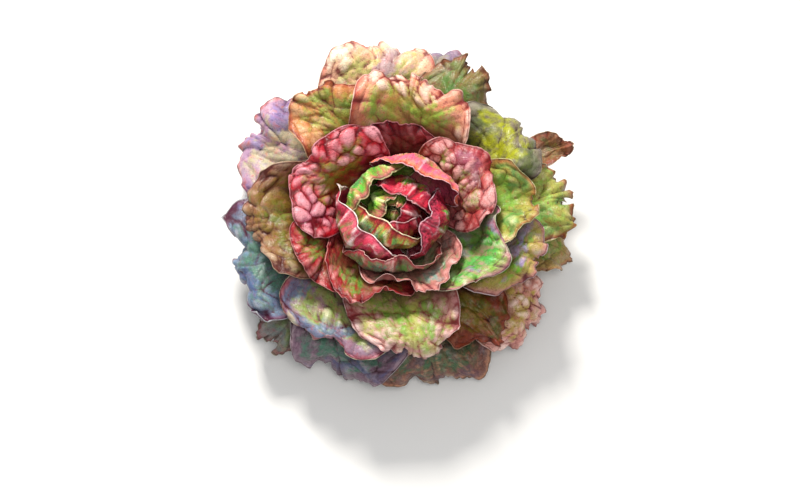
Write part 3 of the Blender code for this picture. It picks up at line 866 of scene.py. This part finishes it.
class Graph:
    """A material under construction: each call adds a node and returns its output."""

    def __init__(self, name):
        self.material = bpy.data.materials.new(name)
        self.material.use_nodes = True
        self.tree = self.material.node_tree
        self.shader = self.tree.nodes["Principled BSDF"]

    def put(self, socket, value):
        """Links an output to a socket, or sets the socket to a constant."""
        if isinstance(value, bpy.types.NodeSocket):
            self.tree.links.new(value, socket)
        elif value is not None:
            socket.default_value = value

    def math(self, operation, first, second=None):
        """A sum, product or the like of one or two values."""
        node = self.tree.nodes.new("ShaderNodeMath")
        node.operation = operation
        self.put(node.inputs[0], first)
        self.put(node.inputs[1], second)
        return node.outputs[0]

    def plus(self, first, second, weight):
        """The first value and so much of the second."""
        return self.math("ADD", first, self.math("MULTIPLY", second, weight))

    def span(self, value, low, high, start=0.0, end=1.0):
        """Eases from start to end as the value goes from low to high."""
        node = self.tree.nodes.new("ShaderNodeMapRange")
        node.interpolation_type = "SMOOTHSTEP"
        for name, given in (("Value", value), ("From Min", low), ("From Max", high)):
            self.put(node.inputs[name], given)
        self.put(node.inputs["To Min"], start)
        self.put(node.inputs["To Max"], end)
        return node.outputs[0]

    def mix(self, share, first, second):
        """The second colour over the first, as far as the share goes."""
        node = self.tree.nodes.new("ShaderNodeMix")
        node.data_type = "RGBA"
        self.put(node.inputs[0], share)
        self.put(node.inputs[6], first)
        self.put(node.inputs[7], second)
        return node.outputs[2]

    def coat(self, under, paint, value, low, high, strength=1.0):
        """Lays a palette colour over what is there, more as the value goes from low to high."""
        return self.mix(self.span(value, low, high, end=strength), under, linear(paint))

    def noise(self, place, scale, detail=4.0, roughness=0.6):
        """A cloudy pattern about 0.5."""
        node = self.tree.nodes.new("ShaderNodeTexNoise")
        self.put(node.inputs["Vector"], place)
        self.put(node.inputs["Scale"], scale)
        self.put(node.inputs["Detail"], detail)
        self.put(node.inputs["Roughness"], roughness)
        return node.outputs["Fac"]

    def network(self, place, scale):
        """Distance from the lines of an irregular net."""
        node = self.tree.nodes.new("ShaderNodeTexVoronoi")
        node.feature = "DISTANCE_TO_EDGE"
        self.put(node.inputs["Vector"], place)
        self.put(node.inputs["Scale"], scale)
        return node.outputs["Distance"]

    def flat_place(self, shift, stretch):
        """The leaf's flat coordinates, shifted and stretched."""
        coordinates = self.tree.nodes.new("ShaderNodeTexCoord")
        mapping = self.tree.nodes.new("ShaderNodeMapping")
        self.put(mapping.inputs["Vector"], coordinates.outputs["UV"])
        self.put(mapping.inputs["Location"], (shift, 0.37 * shift, 0.0))
        self.put(mapping.inputs["Scale"], stretch)
        return mapping.outputs[0]

    def masks(self):
        """The masks of margin, proud places, creases and dusk, which place the painted highlight and shade.
        """
        attribute = self.tree.nodes.new("ShaderNodeAttribute")
        attribute.attribute_name = "masks"
        split = self.tree.nodes.new("ShaderNodeSeparateColor")
        self.put(split.inputs[0], attribute.outputs["Color"])
        return (*split.outputs[:3], attribute.outputs["Alpha"])

    def bump(self, height, strength, distance):
        """Roughens the surface by a height."""
        node = self.tree.nodes.new("ShaderNodeBump")
        self.put(node.inputs["Height"], height)
        self.put(node.inputs["Strength"], strength)
        self.put(node.inputs["Distance"], distance)
        self.put(self.shader.inputs["Normal"], node.outputs[0])

    def finish(self, colour, roughness):
        """Gives the shader its colour and roughness."""
        self.put(self.shader.inputs["Base Color"], colour)
        self.put(self.shader.inputs["Roughness"], roughness)


def leaf_material(leaf, index):
    """Paints a leaf: a green heart, flushed outer patches, a red margin, painted highlights on the crests,
    and painted shade in the creases and between leaves.
    """
    colours = PALETTES[leaf.palette]
    graph = Graph("leaf_" + leaf.name)
    margin, proud, crease, dusk = graph.masks()

    # Clouds from broad to fine, in other places on each leaf, and one drawn out along the blade
    place = graph.flat_place(3.1 * index + 1.7, stretch=(1.0, 1.0, 1.0))
    stretched = graph.flat_place(1.3 * index + 0.4, stretch=(2.4, 0.5, 1.0))
    wide = graph.noise(place, scale=3.4, detail=3.0, roughness=0.55)
    dull = graph.noise(place, scale=5.5)
    patchy = graph.noise(place, scale=9.0)
    mottle = graph.noise(place, scale=17.0)
    fleck = graph.noise(place, scale=34.0, detail=3.0)
    grain = graph.noise(place, scale=60.0)
    stroke = graph.noise(stretched, scale=8.0)

    # The flush and the wide clouds of colour
    grown = graph.plus(graph.math("MULTIPLY", patchy, 1.0 - leaf.streaks), stroke, leaf.streaks)
    flushed = graph.plus(grown, margin, leaf.blush)
    colour = graph.coat(linear(colours.centre), colours.flush, flushed, low=0.50, high=0.72)
    colour = graph.coat(colour, colours.cast, wide, low=0.50, high=0.60, strength=0.8)
    colour = graph.coat(colour, BLOOM, dull, low=0.52, high=0.66, strength=0.25 * leaf.layer**2)

    # Margin colour in patches, in strokes and round the rim, and a painted highlight on the proud places
    colour = graph.coat(colour, colours.margin, mottle, low=0.52, high=0.70, strength=0.65)
    colour = graph.coat(colour, colours.margin, stroke, low=0.46, high=0.64, strength=leaf.streaks)
    rim = graph.plus(margin, patchy, 0.5)
    colour = graph.coat(colour, colours.margin, rim, low=0.74, high=1.08, strength=0.9)
    painted_highlight = graph.plus(proud, mottle, 0.5)
    colour = graph.coat(colour, colours.highlight_and_edge, painted_highlight, low=0.60, high=1.15, strength=0.85)

    # Dark flecks, the lines drawn round the patches, painted shade in the creases, and painted shade
    # between leaves where the dusk mask is deep
    colour = graph.coat(colour, colours.dark_marks_and_shade, fleck, low=0.60, high=0.70, strength=0.5)
    drawn = graph.math("ABSOLUTE", graph.math("SUBTRACT", mottle, 0.5))
    colour = graph.coat(colour, colours.dark_marks_and_shade, drawn, low=0.022, high=0.0, strength=leaf.outlines)
    painted_crease_shade = graph.plus(crease, patchy, 0.5)
    colour = graph.coat(colour, colours.dark_marks_and_shade, painted_crease_shade, low=0.42, high=0.90, strength=0.95)
    painted_shade_colour = graph.mix(0.4, linear(colours.dark_marks_and_shade), linear(colours.flush))
    colour = graph.mix(graph.math("MULTIPLY", dusk, 0.8), colour, painted_shade_colour)

    # A dark border and a pale line on the very edge, both stronger in some places than in others
    near = graph.span(margin, low=0.80, high=0.88)
    border = graph.math("MULTIPLY", near, graph.span(mottle, low=0.40, high=0.60, start=0.4, end=0.8))
    colour = graph.mix(border, colour, linear(colours.dark_marks_and_shade))
    nearest = graph.span(margin, low=0.925, high=0.965)
    line = graph.math("MULTIPLY", nearest, graph.span(mottle, low=0.40, high=0.60, start=0.6, end=1.0))
    colour = graph.mix(graph.math("MULTIPLY", line, leaf.edging), colour, linear(colours.highlight_and_edge))

    graph.finish(colour, graph.span(grain, low=0.3, high=0.7, start=0.34, end=0.50))
    graph.put(graph.shader.inputs["Specular IOR Level"], 0.35)
    net = graph.span(graph.network(place, scale=30.0), low=0.0, high=0.14)
    graph.bump(graph.plus(net, grain, 0.5), strength=0.35, distance=0.0004)
    return graph.material


def stem_material():
    """Pale green flesh with fine fibres, browned where the knife cut it."""
    graph = Graph("stem_flesh")
    coordinates = graph.tree.nodes.new("ShaderNodeTexCoord")
    place = coordinates.outputs["Object"]
    split = graph.tree.nodes.new("ShaderNodeSeparateXYZ")
    graph.put(split.inputs[0], place)
    height = split.outputs[2]
    patchy = graph.noise(place, scale=60.0)
    fibres = graph.noise(place, scale=420.0, detail=3.0)
    colour = graph.coat(linear(FLESH), FLESH_SHADE, patchy, low=0.35, high=0.65)
    colour = graph.coat(colour, FIBRE, fibres, low=0.5, high=0.7, strength=0.5)
    cut = graph.span(height, low=0.0035, high=0.0005)
    browned = graph.math("MULTIPLY", cut, graph.span(patchy, low=0.3, high=0.6, start=0.35, end=0.9))
    colour = graph.mix(browned, colour, linear(CUT_BROWN))
    graph.finish(colour, graph.span(fibres, low=0.3, high=0.7, start=0.45, end=0.65))
    graph.bump(graph.math("ADD", fibres, patchy), strength=0.3, distance=0.0006)
    return graph.material


def make_stem():
    """The stem as a turned solid with shallow ribs and the scars of leaves picked off it."""
    sides = np.linspace(STEM_CHAMFER, STEM_TIP_HEIGHT, STEM_RINGS)
    heights = np.concatenate([[0.0, 0.0], sides, [STEM_TIP_HEIGHT + STEM_DOME]])
    radii = stem_radius(heights)
    radii[1] = STEM_FOOT_RADIUS - STEM_CHAMFER
    radii[[0, -1]] = STEM_CENTRE_RADIUS
    angles = 2.0 * np.pi * np.arange(STEM_SIDES) / STEM_SIDES
    ring, turn = np.meshgrid(np.arange(len(heights)), angles, indexing="ij")
    height = heights[ring]

    # Scars lie where two slanting waves cross, and they and the ribs fade out at both ends
    body = ramp(height, 1.0, 5.0) * smooth((STEM_TIP_HEIGHT - height) / 8.0)
    scars = np.abs(np.sin(5.0 * turn + height * 0.55) * np.sin(3.0 * turn - height * 0.4))
    ribs = np.sin(STEM_RIBS * turn)
    radius = radii[ring] - body * (STEM_SHRINKAGE + SCAR_DEPTH * scars + STEM_RIB_DEPTH * ribs)
    points = np.stack([radius * np.cos(turn), radius * np.sin(turn) - lean(height), height], axis=-1)

    number = np.arange(ring.size).reshape(ring.shape)
    following = np.roll(number, -1, axis=1)
    corners = (number[:-1], following[:-1], following[1:], number[1:])
    quads = np.stack([c.ravel() for c in corners], axis=1)
    flat = np.stack([turn, height / FLAT_UNIT], axis=-1).reshape(-1, 2)
    masks = np.ones((ring.size, 4))
    made = mesh_from_arrays("fine_stem", points.reshape(-1, 3), quads, flat, masks)
    made.data.materials.append(stem_material())
    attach(made, "root")
    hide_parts("stem")


def make_leaves():
    """Grows all leaves first, because each one's dusk, its painted shade, depends on the others."""
    leaves = []
    for tier, cells, slot in (
        (OUTER_LEAVES, LARGE_CELLS, "outer_leaf"),
        (MIDDLE_LEAVES, LARGE_CELLS, "middle_leaf"),
        (RING_LEAVES, LARGE_CELLS, "ring_leaf"),
        (HEART_LEAVES, SMALL_CELLS, "heart_leaf"),
        (BUD_LEAVES, SMALL_CELLS, "heart_leaf"),
    ):
        leaves.extend((leaf, cells, slot) for leaf in tier)
    grown = [grow_leaf(leaf, index, cells) for index, (leaf, cells, _) in enumerate(leaves)]
    sky = Sky([upper for upper, *_ in grown])
    for index, (leaf, _, slot) in enumerate(leaves):
        leaf_object(leaf, index, grown[index], sky)


def make_floor():
    """A plain pale sheet under the head."""
    bpy.ops.mesh.primitive_plane_add(size=FLOOR_SIZE, location=(0.0, 0.0, -FLOOR_DROP))
    floor = bpy.context.object
    floor.name = "floor"
    paper = bpy.data.materials.new("paper")
    paper.use_nodes = True
    shader = paper.node_tree.nodes["Principled BSDF"]
    shader.inputs["Base Color"].default_value = FLOOR_COLOUR
    shader.inputs["Roughness"].default_value = FLOOR_ROUGHNESS
    floor.data.materials.append(paper)


def aim(thing, target):
    """Turns a camera or light to look at a point."""
    away = thing.location - target
    thing.rotation_euler = away.to_track_quat("Z", "Y").to_euler()


def make_light(lamp):
    """One soft square light, turned to the head."""
    data = bpy.data.lights.new(lamp.name, "AREA")
    data.energy = lamp.power
    data.size = lamp.size
    data.color = lamp.colour
    light = bpy.data.objects.new(lamp.name, data)
    bpy.context.scene.collection.objects.link(light)
    light.location = lamp.place
    aim(light, AIM)


def make_camera():
    """Looks down on the head from the front, as the photo does."""
    data = bpy.data.cameras.new("camera")
    camera = bpy.data.objects.new("camera", data)
    bpy.context.scene.collection.objects.link(camera)
    lift = math.radians(CAMERA_ELEVATION)
    camera.location = AIM + CAMERA_DISTANCE * Vector((0.0, -math.cos(lift), math.sin(lift)))
    aim(camera, AIM)
    data.sensor_width = SENSOR_WIDTH
    data.lens = SENSOR_WIDTH * CAMERA_DISTANCE / VIEW_WIDTH
    up = camera.rotation_euler.to_quaternion() @ Vector((0.0, 1.0, 0.0))
    camera.location -= up * CAMERA_SINK
    bpy.context.scene.camera = camera


def make_studio():
    """A pale sky and the lamps."""
    world = bpy.data.worlds.new("studio")
    world.use_nodes = True
    background = world.node_tree.nodes["Background"]
    background.inputs[0].default_value = SKY_COLOUR
    background.inputs[1].default_value = SKY_STRENGTH
    bpy.context.scene.world = world
    for lamp in LAMPS:
        make_light(lamp)
    bpy.context.scene.view_settings.view_transform = "Standard"


make_stem()
make_leaves()
make_floor()
make_camera()
make_studio()
